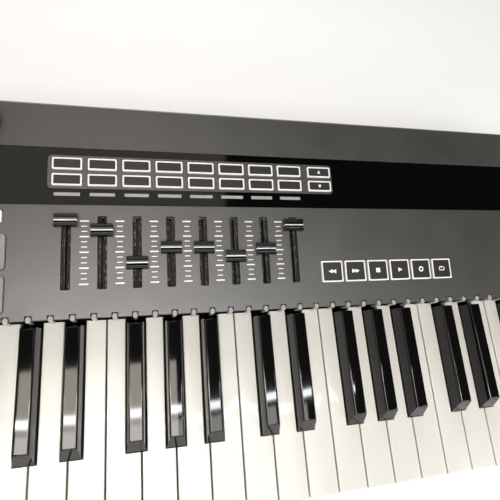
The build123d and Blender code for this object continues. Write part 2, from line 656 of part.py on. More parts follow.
with BuildPart() as main_board:
    with BuildSketch(Plane.XY.offset(MAIN_BOARD_Z)):
        with Locations((0, 120.5)):
            Rectangle(620, 51)
        with Locations(*[xy for xy in SCREW_XY if abs(xy[0]) < 310 and xy[1] > 90]):
            Circle(BOSS_HOLE_R, mode=Mode.SUBTRACT)
    extrude(amount=BOARD_T)
    board_top = MAIN_BOARD_Z + BOARD_T
    # processor, memory and the flat cable header
    block(-20, 0, 100, 120, board_top, board_top + 1.6)
    block(20, 34, 102, 112, board_top, board_top + 1.2)
    block(-90, -50, 98, 103, board_top, board_top + 6)
save(main_board, "main_board")

# ======================= faders =======================
FADER_BODY_TOP = 4.2
with BuildPart() as fader_dust_felts:
    with BuildSketch(panel(depth=WALL)):
        with Locations(*[(x, sum(SLOT_S) / 2) for x in FADERS]):
            Rectangle(10, SLOT_S[1] - SLOT_S[0] + 4)
            SlotOverall(SLOT_S[1] - SLOT_S[0], FELT_SLIT_W, rotation=90, mode=Mode.SUBTRACT)
    extrude(amount=-(FADER_BODY_TOP - WALL))
save(fader_dust_felts, "fader_dust_felts")

with BuildPart() as fader_bodies:
    with BuildSketch(panel(depth=FADER_BODY_TOP)):
        with Locations(*[(x, sum(SLOT_S) / 2) for x in FADERS]):
            Rectangle(9, 62)
    extrude(amount=-(BOARD_DEPTH - FADER_BODY_TOP))
    with BuildSketch(panel(depth=FADER_BODY_TOP)):
        with Locations(*[(x, sum(SLOT_S) / 2) for x in FADERS]):
            Rectangle(FELT_SLIT_W, 51)
    extrude(amount=-7, mode=Mode.SUBTRACT)
save(fader_bodies, "fader_bodies")

CAP_W = 15.0
CAP_D = 9.4
CAP_H = 6.4
CAP_LIFT = 0.7
for number, (fader_x, rest) in enumerate(zip(FADERS, FADER_REST), start=1):
    home = panel(x=fader_x, s=rest)
    side = Plane(origin=home.origin, x_dir=home.y_dir, z_dir=home.x_dir)
    with BuildPart() as fader_cap:
        # saddle shaped top: two ridges with a valley between them
        with BuildSketch(side):
            with BuildLine():
                Polyline(
                    (-CAP_D / 2, CAP_H - 1.8),
                    (-CAP_D / 2, CAP_LIFT),
                    (CAP_D / 2, CAP_LIFT),
                    (CAP_D / 2, CAP_H - 1.8),
                    (CAP_D / 2 - 1.0, CAP_H),
                )
                ThreePointArc((CAP_D / 2 - 1.0, CAP_H), (0, CAP_H - 2.0), (1.0 - CAP_D / 2, CAP_H))
                Line((1.0 - CAP_D / 2, CAP_H), (-CAP_D / 2, CAP_H - 1.8))
            make_face()
        extrude(amount=CAP_W / 2, both=True)
        fillet(fader_cap.edges().filter_by(Axis.X).sort_by(Axis.Z)[-2:], 0.5)
        with BuildSketch(home):
            Rectangle(1.2, 4)
        extrude(amount=CAP_LIFT + 1)
        with BuildSketch(home):
            Rectangle(1.2, 4)
        extrude(amount=-9.5)
    save(fader_cap, f"fader_cap_{number}")

# ======================= knobs =======================
with BuildPart() as encoder_bodies:
    with BuildSketch(panel(depth=WALL + 0.2)):
        with Locations(*[(x, KNOB_S) for x in COLUMNS]):
            Rectangle(12, 12)
    extrude(amount=-(BOARD_DEPTH - WALL - 0.2))
    with BuildSketch(panel(depth=WALL + 0.2)):
        with Locations(*[(x, KNOB_S) for x in COLUMNS]):
            Circle(AXLE_R + 0.05)
    extrude(amount=-5, mode=Mode.SUBTRACT)
save(encoder_bodies, "encoder_bodies")

KNOB_R = 7.4
KNOB_H = 13.2
for number, knob_x in enumerate(COLUMNS, start=1):
    with BuildPart() as knob:
        with BuildSketch(panel(depth=-0.6, x=knob_x, s=KNOB_S)):
            Circle(KNOB_R)
            with PolarLocations(KNOB_R + 0.35, 30):
                Circle(0.6, mode=Mode.SUBTRACT)
        extrude(amount=KNOB_H - 0.6)
        with BuildSketch(panel(depth=-0.6, x=knob_x, s=KNOB_S)):
            Circle(AXLE_R)
        extrude(amount=-8.2)
        with BuildSketch(panel(depth=-KNOB_H, x=knob_x, s=KNOB_S)):
            Circle(KNOB_R - 1.4)
        extrude(amount=-0.6, mode=Mode.SUBTRACT)
    save(knob, f"knob_{number}")


# ======================= buttons and pads =======================
def press_part(name, groups):
    """A rubber key set: each group is (places, size, corner radius, height above the panel)."""
    with BuildPart() as keys:
        for places, size, corner, proud in groups:
            with BuildSketch(panel(depth=WALL + 0.4)):
                with Locations(*places):
                    RectangleRounded(*size, corner)
            extrude(amount=WALL + 0.4 + proud)
            with BuildSketch(panel(depth=WALL + 0.4)):
                with Locations(*places):
                    Rectangle(size[0] + 2, size[1] + 2)
            extrude(amount=-1.2)
            with BuildSketch(panel(depth=WALL + 1.6)):
                with Locations(*places):
                    Rectangle(size[0] / 2, size[1] / 2)
            extrude(amount=-(BOARD_DEPTH - WALL - 1.6 - 1.2))
    save(keys, name)


press_part("soft_buttons", [(SOFT_XY, SOFT_SIZE, 0.8, BUTTON_PROUD)])
press_part("transport_buttons", [(TRANSPORT_XY, TRANSPORT_SIZE, 0.8, BUTTON_PROUD)])
press_part("display_buttons", [(DISPLAY_BUTTON_XY, DISPLAY_BUTTON_SIZE, 0.8, BUTTON_PROUD)])
press_part("function_buttons", [(FUNCTION_XY + OCTAVE_XY, FUNCTION_SIZE, 0.8, BUTTON_PROUD)])
press_part("pads", [(PAD_XY, PAD_SIZE, 2.0, 2.2)])

# ======================= wheels =======================
PLATE_GAP = WHEEL_W / 2 + 1.2
with BuildPart() as wheel_bracket:
    block(WHEEL_X[0] - 14, WHEEL_X[1] + 14, WHEEL_Y - 22, WHEEL_Y + 22, FLOOR_Z, FLOOR_Z + 1.6)
    for wheel_x in WHEEL_X:
        for sign in (-1, 1):
            inner_x = wheel_x + sign * PLATE_GAP
            outer_x = inner_x + sign * 2.2
            low_x = min(inner_x, outer_x)
            block(low_x, low_x + 2.2, WHEEL_Y - 9, WHEEL_Y + 9, FLOOR_Z, WHEEL_Z + 7)
        with BuildSketch(Plane.YZ.offset(wheel_x - PLATE_GAP - 1)):
            with Locations((WHEEL_Y, WHEEL_Z)):
                Circle(AXLE_R)
        extrude(amount=2 * PLATE_GAP + 2)
        block(wheel_x + PLATE_GAP + 2.2, wheel_x + PLATE_GAP + 8, WHEEL_Y - 7, WHEEL_Y + 7, WHEEL_Z - 8, WHEEL_Z + 6)
save(wheel_bracket, "wheel_bracket")

for name, wheel_x, notch_angle in (("pitch_wheel", WHEEL_X[0], 90.0), ("mod_wheel", WHEEL_X[1], 113.0)):
    with BuildPart() as wheel:
        with BuildSketch(Plane.YZ.offset(wheel_x - WHEEL_W / 2)):
            with Locations((WHEEL_Y, WHEEL_Z)):
                Circle(WHEEL_R)
        extrude(amount=WHEEL_W)
        fillet(wheel.edges(), 2.0)
        with BuildSketch(Plane.YZ.offset(wheel_x - WHEEL_W / 2 - 1)):
            with Locations((WHEEL_Y, WHEEL_Z)):
                Circle(AXLE_R + 0.05)
                with PolarLocations(WHEEL_R + 4.5, 1, start_angle=notch_angle):
                    Circle(7.0)
                with PolarLocations(WHEEL_R / 2, 5, start_angle=notch_angle - 144, angular_range=270):
                    Circle(6.0)
        extrude(amount=WHEEL_W + 2, mode=Mode.SUBTRACT)
    save(wheel, name)

# ======================= rear sockets =======================
REAR_IN = HALF_D - WALL
JACK_R = 3.25
MINI_R = 1.8
with BuildPart() as jack_sockets:
    for xs, bore_r, nose_r, body_w, body_d, bore_d in (
        (JACK_X, JACK_R, 4.8, 15.0, 27.0, 30.0),
        (MINI_X, MINI_R, 3.3, 10.0, 13.0, 15.0),
    ):
        for socket_x in xs:
            half = body_w / 2
            block(socket_x - half, socket_x + half, REAR_IN - body_d, REAR_IN, SOCKET_Z - half, SOCKET_Z + half)
        with BuildSketch(Plane.XZ.offset(-REAR_IN)):
            with Locations(*[(x, SOCKET_Z) for x in xs]):
                Circle(nose_r)
        extrude(amount=-(WALL - 0.2))
        with BuildSketch(Plane.XZ.offset(-HALF_D)):
            with Locations(*[(x, SOCKET_Z) for x in xs]):
                Circle(bore_r)
        extrude(amount=bore_d - 3, mode=Mode.SUBTRACT)
save(jack_sockets, "jack_sockets")

SOCKET_FLOOR = MAIN_BOARD_Z + BOARD_T
ROCKER_TILT = 8.0
ROCKER_Y = REAR_IN - 2.0
ROCKER_PIN_R = 1.2
with BuildPart() as data_sockets:
    # three round five-pin sockets
    for din_x in DIN_X:
        block(din_x - 10.5, din_x + 10.5, REAR_IN - 13, REAR_IN, SOCKET_FLOOR, SOCKET_Z + 10)
    with BuildSketch(Plane.XZ.offset(-REAR_IN)):
        with Locations(*[(x, SOCKET_Z) for x in DIN_X]):
            Circle(8.8)
    extrude(amount=-(WALL - 0.2))
    with BuildSketch(Plane.XZ.offset(-HALF_D)):
        with Locations(*[(x, SOCKET_Z) for x in DIN_X]):
            Circle(7.6)
            Circle(6.6, mode=Mode.SUBTRACT)
    extrude(amount=9, mode=Mode.SUBTRACT)
    with BuildSketch(Plane.XZ.offset(-HALF_D)):
        for din_x in DIN_X:
            with Locations((din_x, SOCKET_Z)):
                with PolarLocations(4.6, 5, start_angle=180, angular_range=225):
                    Circle(0.85)
    extrude(amount=9, mode=Mode.SUBTRACT)
    # square data socket with its tongue
    block(USB_X - 6, USB_X + 6, REAR_IN - 15, HALF_D - 0.3, SOCKET_Z - 5.5, SOCKET_Z + 5.5)
    block(USB_X - 4.3, USB_X + 4.3, REAR_IN - 7, HALF_D, SOCKET_Z - 4, SOCKET_Z + 4, mode=Mode.SUBTRACT)
    block(USB_X - 2.9, USB_X + 2.9, REAR_IN - 8, HALF_D - 1.2, SOCKET_Z - 1.6, SOCKET_Z + 1.6)
    # barrel power inlet with its pin
    block(POWER_X - 7, POWER_X + 7, REAR_IN - 14, REAR_IN, SOCKET_FLOOR, SOCKET_Z + 6)
    with BuildSketch(Plane.XZ.offset(-REAR_IN)):
        with Locations((POWER_X, SOCKET_Z)):
            Circle(5.3)
    extrude(amount=-(WALL - 0.2))
    with BuildSketch(Plane.XZ.offset(-HALF_D)):
        with Locations((POWER_X, SOCKET_Z)):
            Circle(3.2)
            Circle(1.0, mode=Mode.SUBTRACT)
    extrude(amount=11, mode=Mode.SUBTRACT)
    # housing of the power switch
    block(SWITCH_X - 7.5, SWITCH_X + 7.5, REAR_IN - 16, REAR_IN, SOCKET_Z - 11, SOCKET_Z + 11)
    block(SWITCH_X - 7.0, SWITCH_X + 7.0, REAR_IN, HALF_D - 0.2, SOCKET_Z - 10.5, SOCKET_Z + 10.5)
    block(SWITCH_X - 5.5, SWITCH_X + 5.5, REAR_IN - 8, HALF_D, SOCKET_Z - 9, SOCKET_Z + 9, mode=Mode.SUBTRACT)
    # pin that the rocker turns on
    with BuildSketch(Plane.YZ.offset(SWITCH_X - 6)):
        with Locations((ROCKER_Y, SOCKET_Z)):
            Circle(ROCKER_PIN_R)
    extrude(amount=12)
save(data_sockets, "data_sockets")

with BuildPart() as power_switch:
    with BuildSketch(Plane.YZ.offset(SWITCH_X - 5.2)):
        with BuildLine():
            Polyline(
                (ROCKER_Y - 3, SOCKET_Z - 4),
                (ROCKER_Y - 3, SOCKET_Z + 4),
                (ROCKER_Y, SOCKET_Z + 8.2),
                (ROCKER_Y + 3.6, SOCKET_Z + 8.2),
                (ROCKER_Y + 3.0, SOCKET_Z),
                (ROCKER_Y + 3.6, SOCKET_Z - 8.2),
                (ROCKER_Y, SOCKET_Z - 8.2),
                close=True,
            )
        make_face()
    extrude(amount=10.4)
    with BuildSketch(Plane.YZ.offset(SWITCH_X - 6)):
        with Locations((ROCKER_Y, SOCKET_Z)):
            Circle(ROCKER_PIN_R + 0.05)
    extrude(amount=12, mode=Mode.SUBTRACT)
    rocker = power_switch.part.rotate(Axis((0, ROCKER_Y, SOCKET_Z), (1, 0, 0)), ROCKER_TILT)
    add(rocker, mode=Mode.REPLACE)
save(power_switch, "power_switch")
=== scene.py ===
import json
import math

import bmesh
import bpy
from mathutils import Matrix, Vector


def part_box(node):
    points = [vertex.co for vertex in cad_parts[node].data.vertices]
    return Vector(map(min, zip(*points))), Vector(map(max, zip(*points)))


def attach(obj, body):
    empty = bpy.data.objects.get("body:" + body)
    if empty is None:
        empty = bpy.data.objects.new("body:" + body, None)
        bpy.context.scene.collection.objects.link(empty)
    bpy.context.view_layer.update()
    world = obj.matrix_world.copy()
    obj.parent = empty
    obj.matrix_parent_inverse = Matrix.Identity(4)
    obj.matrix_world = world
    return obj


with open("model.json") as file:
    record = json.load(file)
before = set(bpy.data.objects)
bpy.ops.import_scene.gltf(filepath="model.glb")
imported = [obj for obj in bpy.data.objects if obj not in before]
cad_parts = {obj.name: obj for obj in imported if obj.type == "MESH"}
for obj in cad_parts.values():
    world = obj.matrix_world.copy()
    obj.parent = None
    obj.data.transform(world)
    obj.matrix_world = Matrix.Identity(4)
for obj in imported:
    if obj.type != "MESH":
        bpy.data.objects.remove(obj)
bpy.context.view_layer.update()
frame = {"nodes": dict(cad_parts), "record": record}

MM = 0.001
BEHAVIOUR = frame["record"]["behaviour"]
JOINTS = {joint["name"]: joint for joint in BEHAVIOUR["joints"]}

# The panel plane: X along the case, S up the slope, N out of the panel.
S_AXIS = Vector(JOINTS["fader_1_slide"]["axis"]).normalized()
X_AXIS = Vector((1, 0, 0))
N_AXIS = X_AXIS.cross(S_AXIS)
PANEL_N = max(vertex.co.dot(N_AXIS) for vertex in frame["nodes"]["top_case"].data.vertices)


def on_panel(x, s, n=0.0):
    """The point at (x, s) on the panel, raised by n. Metres; s is measured along the slope."""
    return X_AXIS * x + S_AXIS * s + N_AXIS * (PANEL_N + n)


def panel_matrix(x, s, n=0.0):
    """A frame whose X, Y and Z run along the case, up the slope and out of the panel."""
    rotation = Matrix((X_AXIS, S_AXIS, N_AXIS)).transposed().to_4x4()
    return Matrix.Translation(on_panel(x, s, n)) @ rotation


def islands(node):
    """The limits of each separate solid of a CAD node, as (low, high) along X, S and N from the panel."""
    mesh = frame["nodes"][node].data
    owner = list(range(len(mesh.vertices)))

    def root(i):
        while owner[i] != i:
            owner[i] = owner[owner[i]]
            i = owner[i]
        return i

    keys = {}
    for vertex in mesh.vertices:
        spot = tuple(round(c, 6) for c in vertex.co)
        first = keys.setdefault(spot, vertex.index)
        owner[root(vertex.index)] = root(first)
    for edge in mesh.edges:
        owner[root(edge.vertices[0])] = root(edge.vertices[1])
    groups = {}
    for vertex in mesh.vertices:
        co = vertex.co
        local = (co.x, co.dot(S_AXIS), co.dot(N_AXIS) - PANEL_N)
        groups.setdefault(root(vertex.index), []).append(local)
    boxes = []
    for points in groups.values():
        low = tuple(min(p[i] for p in points) for i in range(3))
        high = tuple(max(p[i] for p in points) for i in range(3))
        boxes.append((low, high))
    return sorted(boxes, key=lambda b: (round(b[0][0] + b[1][0], 3), b[0][1]))


def middle(box):
    return (box[0][0] + box[1][0]) / 2, (box[0][1] + box[1][1]) / 2


# ---------------------------------------------------------------- materials
class Paint:
    """A principled material being wired: nodes are made and linked with short calls."""

    def __init__(self, name, color, roughness, **sockets):
        self.material = bpy.data.materials.new(name)
        self.material.use_nodes = True
        self.tree = self.material.node_tree
        self.shader = self.tree.nodes["Principled BSDF"]
        self.shader.inputs["Base Color"].default_value = (*color, 1)
        self.shader.inputs["Roughness"].default_value = roughness
        for socket, value in sockets.items():
            self.shader.inputs[socket.replace("_", " ")].default_value = value
        self.place = self.node("ShaderNodeTexCoord").outputs["Object"]
        self.bump_from = None

    def node(self, kind, **values):
        made = self.tree.nodes.new(kind)
        for key, value in values.items():
            if key in made.inputs:
                made.inputs[key].default_value = value
            else:
                setattr(made, key, value)
        return made

    def link(self, source, target):
        self.tree.links.new(source, target)

    def noise(self, scale, detail=4.0, stretch=(1, 1, 1)):
        mapping = self.node("ShaderNodeMapping")
        mapping.inputs["Scale"].default_value = stretch
        self.link(self.place, mapping.inputs["Vector"])
        noise = self.node("ShaderNodeTexNoise", Scale=scale, Detail=detail)
        self.link(mapping.outputs["Vector"], noise.inputs["Vector"])
        return noise.outputs["Fac"]

    def spots(self, scale):
        cells = self.node("ShaderNodeTexVoronoi", Scale=scale)
        self.link(self.place, cells.inputs["Vector"])
        return cells.outputs["Distance"]

    def ramp(self, source, stops):
        ramp = self.node("ShaderNodeValToRGB")
        while len(ramp.color_ramp.elements) < len(stops):
            ramp.color_ramp.elements.new(0.5)
        for element, (position, color) in zip(ramp.color_ramp.elements, stops):
            element.position = position
            element.color = (*color, 1) if len(color) == 3 else color
        self.link(source, ramp.inputs["Fac"])
        return ramp.outputs["Color"]

    def color(self, source, stops):
        self.link(self.ramp(source, stops), self.shader.inputs["Base Color"])
        return self

    def mix(self, factor, base, over):
        blend = self.node("ShaderNodeMix", data_type="RGBA")
        self.link(factor, blend.inputs[0])
        self.link(base, blend.inputs[6])
        self.link(over, blend.inputs[7])
        return blend.outputs[2]

    def roughness(self, source, low, high):
        spread = self.node("ShaderNodeMapRange")
        spread.inputs["To Min"].default_value = low
        spread.inputs["To Max"].default_value = high
        self.link(source, spread.inputs["Value"])
        self.link(spread.outputs["Result"], self.shader.inputs["Roughness"])
        return self

    def bump(self, source, depth, strength=1.0):
        bump = self.node("ShaderNodeBump", Strength=strength, Distance=depth)
        self.link(source, bump.inputs["Height"])
        if self.bump_from:
            self.link(self.bump_from, bump.inputs["Normal"])
        self.bump_from = bump.outputs["Normal"]
        self.link(self.bump_from, self.shader.inputs["Normal"])
        return self


def shade(base, factor):
    return tuple(min(1.0, c * factor) for c in base)


def grained(name, base, roughness, grain=2400, depth=0.00003, dust=0.0, **sockets):
    """Moulded plastic: fine grain, slow colour drift, rubbed patches, and optional dust specks."""
    paint = Paint(name, base, roughness, **sockets)
    drift = paint.ramp(paint.noise(9), [(0.3, shade(base, 0.9)), (0.7, shade(base, 1.12))])
    if dust:
        speck = paint.ramp(paint.spots(420), [(0.0, (1, 1, 1)), (0.045, (0, 0, 0))])
        rare = paint.ramp(paint.noise(60, 2), [(0.60, (0, 0, 0)), (0.68, (dust, dust, dust))])
        both = paint.node("ShaderNodeMix", data_type="RGBA", blend_type="MULTIPLY")
        both.inputs[0].default_value = 1.0
        paint.link(speck, both.inputs[6])
        paint.link(rare, both.inputs[7])
        light = paint.ramp(paint.noise(5), [(0.0, shade(base, 4.5)), (1.0, shade(base, 6.0))])
        drift = paint.mix(both.outputs[2], drift, light)
    paint.link(drift, paint.shader.inputs["Base Color"])
    paint.roughness(paint.noise(35, 6), roughness - 0.06, roughness + 0.08)
    paint.bump(paint.noise(grain, 3), depth)
    return paint.material


def glossy(name, base, roughness, scratch=0.000004, drift=0.14, haze=0.4, **sockets):
    """Polished plastic: faint haze, fine hairline scratches and finger smears in its gloss."""
    paint = Paint(name, base, roughness, **sockets)
    paint.color(paint.noise(14), [(0.3, shade(base, 1 - drift)), (0.7, shade(base, 1 + drift))])
    paint.roughness(paint.noise(28, 8), roughness * (1 - haze), roughness * (1 + haze))
    paint.bump(paint.noise(60, 3, (1, 0.12, 1)), scratch)
    paint.bump(paint.noise(900, 2, (1, 0.06, 1)), scratch * 0.5)
    return paint.material


def felted(name, base, fluff, scale=1500):
    """Felt: matted fibres with lighter lint caught in it."""
    paint = Paint(name, base, 0.95, Sheen_Weight=0.5)
    stops = [(0.48, base), (0.56, shade(base, 2.2)), (0.64, fluff)]
    lint = paint.ramp(paint.noise(scale, 8, (1, 0.45, 1)), stops)
    paint.link(lint, paint.shader.inputs["Base Color"])
    paint.bump(paint.noise(scale * 1.4, 6), 0.0004)
    paint.bump(paint.spots(scale * 0.8), 0.0003)
    return paint.material


def metal(name, base, roughness):
    paint = Paint(name, base, roughness, Metallic=1.0)
    paint.roughness(paint.noise(600, 4, (1, 0.08, 1)), roughness * 0.7, roughness * 1.5)
    paint.color(paint.noise(120), [(0.3, shade(base, 0.85)), (0.7, shade(base, 1.1))])
    paint.bump(paint.noise(1800, 3, (1, 0.1, 1)), 0.000006)
    return paint.material


def board(name):
    """A circuit board: solder mask with tracks and bright pads."""
    base = (0.008, 0.055, 0.02)
    paint = Paint(name, base, 0.35, Coat_Weight=0.3)
    bricks = paint.node("ShaderNodeTexBrick", Scale=240.0)
    paint.link(paint.place, bricks.inputs["Vector"])
    bricks.inputs["Color1"].default_value = (*base, 1)
    bricks.inputs["Color2"].default_value = (*shade(base, 1.25), 1)
    bricks.inputs["Mortar"].default_value = (*shade(base, 2.2), 1)
    pads = paint.ramp(paint.spots(300), [(0.10, (1, 1, 1)), (0.14, (0, 0, 0))])
    tin = paint.ramp(paint.noise(40), [(0.0, (0.5, 0.48, 0.4)), (1.0, (0.6, 0.58, 0.5))])
    mixed = paint.mix(pads, bricks.outputs["Color"], tin)
    paint.link(mixed, paint.shader.inputs["Base Color"])
    paint.bump(paint.noise(900), 0.00002)
    return paint.material


def milky(name, base, roughness, glow=0.6):
    """Frosted translucent plastic or silicone that lets light soak in."""
    paint = Paint(name, base, roughness, Subsurface_Weight=glow, Subsurface_Scale=0.002)
    paint.shader.inputs["Subsurface Radius"].default_value = (1.0, 0.95, 0.9)
    paint.color(paint.noise(160), [(0.3, shade(base, 0.93)), (0.7, shade(base, 1.04))])
    paint.roughness(paint.noise(220, 5), roughness - 0.08, roughness + 0.1)
    paint.bump(paint.noise(3000, 3), 0.00002)
    return paint.material


MATERIALS = {
    "case_grey": grained(
        "case_grey", (0.0185, 0.0165, 0.0138), 0.45, dust=0.55, Specular_IOR_Level=1.0, IOR=1.62
    ),
    "case_black": grained("case_black", (0.018, 0.018, 0.018), 0.6, grain=1500, depth=0.00008),
    "screw_steel": metal("screw_steel", (0.12, 0.12, 0.125), 0.35),
    "foot_rubber": grained("foot_rubber", (0.012, 0.012, 0.012), 0.85, grain=900, depth=0.0001),
    "gloss_black": glossy("gloss_black", (0.0015, 0.0015, 0.0015), 0.05, scratch=0.000006),
    "display_glass": glossy("display_glass", (0.004, 0.005, 0.007), 0.08),
    "keybed_black": grained("keybed_black", (0.012, 0.012, 0.012), 0.55, depth=0.00006),
    "red_felt": felted("red_felt", (0.09, 0.008, 0.008), (0.25, 0.05, 0.04)),
    "spring_steel": metal("spring_steel", (0.5, 0.5, 0.5), 0.25),
    "circuit_board": board("circuit_board"),
    "dome_rubber": grained("dome_rubber", (0.22, 0.22, 0.22), 0.7),
    "light_guide": milky("light_guide", (0.34, 0.34, 0.32), 0.2, glow=0.45),
    "dust_felt": felted("dust_felt", (0.006, 0.005, 0.0045), (0.15, 0.13, 0.11), scale=900),
    "socket_black": grained("socket_black", (0.01, 0.01, 0.01), 0.45),
    "rocker_black": glossy("rocker_black", (0.008, 0.008, 0.008), 0.25),
    "wheel_rubber": grained("wheel_rubber", (0.018, 0.018, 0.019), 0.62, depth=0.00005),
    "pad_rubber": milky("pad_rubber", (0.22, 0.22, 0.22), 0.6, glow=0.2),
    "button_white": milky("button_white", (0.82, 0.81, 0.78), 0.4),
    "white_key": glossy("white_key", (0.60, 0.587, 0.552), 0.26, drift=0.02, haze=0.08, Coat_Weight=0.2),
    "black_key": glossy("black_key", (0.0030, 0.0030, 0.0030), 0.06),
    "fader_black": glossy("fader_black", (0.002, 0.002, 0.002), 0.10, IOR=1.34),
    "knob_black": grained("knob_black", (0.012, 0.012, 0.012), 0.5),
    "cap_dark": grained("cap_dark", (0.016, 0.0145, 0.013), 0.45, grain=3000),
    "ink_white": grained("ink_white", (0.80, 0.79, 0.76), 0.6, grain=4000, depth=0.00001),
    # flat black with no gloss: painted shade for the shadowed front face of the lip
    "trim_black": grained("trim_black", (0.002, 0.002, 0.002), 0.7, Specular_IOR_Level=0.0),
    "nut_metal": metal("nut_metal", (0.45, 0.44, 0.42), 0.3),
}

for part in frame["record"]["subparts"]:
    node = frame["nodes"][part["node"]]
    node.data.materials.clear()
    node.data.materials.append(MATERIALS[part["material_slot"]])


# ---------------------------------------------------------------- smooth shading on CAD fillets
SMOOTH_ANGLE = math.radians(28)
WELD_GAP = 1e-6


def soft_normals():
    """A modifier group that shades faces smooth where they meet at a small angle."""
    group = bpy.data.node_groups.new("soft_normals", "GeometryNodeTree")
    group.interface.new_socket("Geometry", in_out="INPUT", socket_type="NodeSocketGeometry")
    group.interface.new_socket("Geometry", in_out="OUTPUT", socket_type="NodeSocketGeometry")
    enter = group.nodes.new("NodeGroupInput")
    leave = group.nodes.new("NodeGroupOutput")
    merge = group.nodes.new("GeometryNodeMergeByDistance")
    merge.inputs["Distance"].default_value = WELD_GAP
    faces = group.nodes.new("GeometryNodeSetShadeSmooth")
    faces.domain = "FACE"
    edges = group.nodes.new("GeometryNodeSetShadeSmooth")
    edges.domain = "EDGE"
    edges.inputs["Shade Smooth"].default_value = False
    angle = group.nodes.new("GeometryNodeInputMeshEdgeAngle")
    sharp = group.nodes.new("FunctionNodeCompare")
    sharp.data_type = "FLOAT"
    sharp.operation = "GREATER_THAN"
    sharp.inputs[1].default_value = SMOOTH_ANGLE
    links = group.links
    links.new(enter.outputs[0], merge.inputs["Geometry"])
    links.new(merge.outputs["Geometry"], faces.inputs["Geometry"])
    links.new(faces.outputs["Geometry"], edges.inputs["Geometry"])
    links.new(angle.outputs["Unsigned Angle"], sharp.inputs[0])
    links.new(sharp.outputs["Result"], edges.inputs["Selection"])
    links.new(edges.outputs["Geometry"], leave.inputs[0])
    return group


SOFT = soft_normals()
for node in frame["nodes"].values():
    node.modifiers.new("soft_normals", "NODES").node_group = SOFT


# ---------------------------------------------------------------- mesh helpers
def rounded_outline(width, height, radius, steps=4):
    """Corner points of a rounded rectangle about the origin, counter-clockwise."""
    points = []
    for turn, (sx, sy) in enumerate(((1, 1), (-1, 1), (-1, -1), (1, -1))):
        for step in range(steps + 1):
            angle = math.radians(90 * turn + 90 * step / steps)
            x = sx * (width / 2 - radius) + radius * math.cos(angle)
            y = sy * (height / 2 - radius) + radius * math.sin(angle)
            points.append((x, y))
    return points


def ring_points(radius, count=24):
    turns = [2 * math.pi * i / count for i in range(count)]
    return [(radius * math.cos(a), radius * math.sin(a)) for a in turns]


def add_plate(mesh, place, outline, low, high, soften=0.0):
    """A flat plate with that outline between two heights, its upper rim softened."""
    bottom = [mesh.verts.new(place @ Vector((x, y, low))) for x, y in outline]
    rim = [mesh.verts.new(place @ Vector((x, y, high - soften))) for x, y in outline]
    loops = [bottom, rim]
    if soften:
        cx = sum(x for x, y in outline) / len(outline)
        cy = sum(y for x, y in outline) / len(outline)
        inset = []
        for x, y in outline:
            reach = max(1e-9, math.hypot(x - cx, y - cy))
            pull = 1 - soften / reach
            inset.append((cx + (x - cx) * pull, cy + (y - cy) * pull))
        loops.append([mesh.verts.new(place @ Vector((x, y, high))) for x, y in inset])
    count = len(outline)
    for lower, upper in zip(loops, loops[1:]):
        for i in range(count):
            j = (i + 1) % count
            mesh.faces.new((lower[i], lower[j], upper[j], upper[i]))
    mesh.faces.new(loops[-1])
    mesh.faces.new(list(reversed(bottom)))


def add_ring(mesh, place, outer, inner, low, high):
    """A flat ring: both outlines have the same number of points."""
    rings = []
    for outline, height in ((outer, low), (outer, high), (inner, high), (inner, low)):
        rings.append([mesh.verts.new(place @ Vector((x, y, height))) for x, y in outline])
    count = len(outer)
    for first, second in zip(rings, rings[1:] + rings[:1]):
        for i in range(count):
            j = (i + 1) % count
            mesh.faces.new((first[i], first[j], second[j], second[i]))


def piece(name, body, material, build):
    """A mesh piece filled by build(bmesh), riding on a CAD body."""
    mesh = bmesh.new()
    build(mesh)
    bmesh.ops.recalc_face_normals(mesh, faces=mesh.faces)
    data = bpy.data.meshes.new(name)
    mesh.to_mesh(data)
    mesh.free()
    made = bpy.data.objects.new(name, data)
    bpy.context.scene.collection.objects.link(made)
    data.materials.append(MATERIALS[material])
    made.modifiers.new("soft_normals", "NODES").node_group = SOFT
    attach(made, body)


# ---------------------------------------------------------------- buttons
FRAME_W = 1.15 * MM
BUTTON_FLANGE = 1 * MM
CAP_RISE = 0.1 * MM


def button_caps(node):
    """The dark painted top of each button, inside its milky frame."""
    boxes = islands(node)

    def build(mesh):
        for low, high in boxes:
            x, s = middle((low, high))
            width = high[0] - low[0] - 2 * (BUTTON_FLANGE + FRAME_W)
            depth = high[1] - low[1] - 2 * (BUTTON_FLANGE + FRAME_W)
            outline = rounded_outline(width, depth, 0.5 * MM)
            add_plate(mesh, panel_matrix(x, s, high[2]), outline, -0.2 * MM, CAP_RISE, 0.06 * MM)

    piece(node + "_caps", node, "cap_dark", build)
    return boxes


def triangle(size, turn):
    """Corner points of a triangle that points along the angle turn, in degrees."""
    angles = [math.radians(turn + step) for step in (0, 130, 230)]
    return [(size * math.cos(a), size * math.sin(a)) for a in angles]


SYMBOL_LOW = CAP_RISE - 0.05 * MM
SYMBOL_HIGH = CAP_RISE + 0.04 * MM


def shifted(outline, dx, dy=0.0):
    return [(x + dx, y + dy) for x, y in outline]


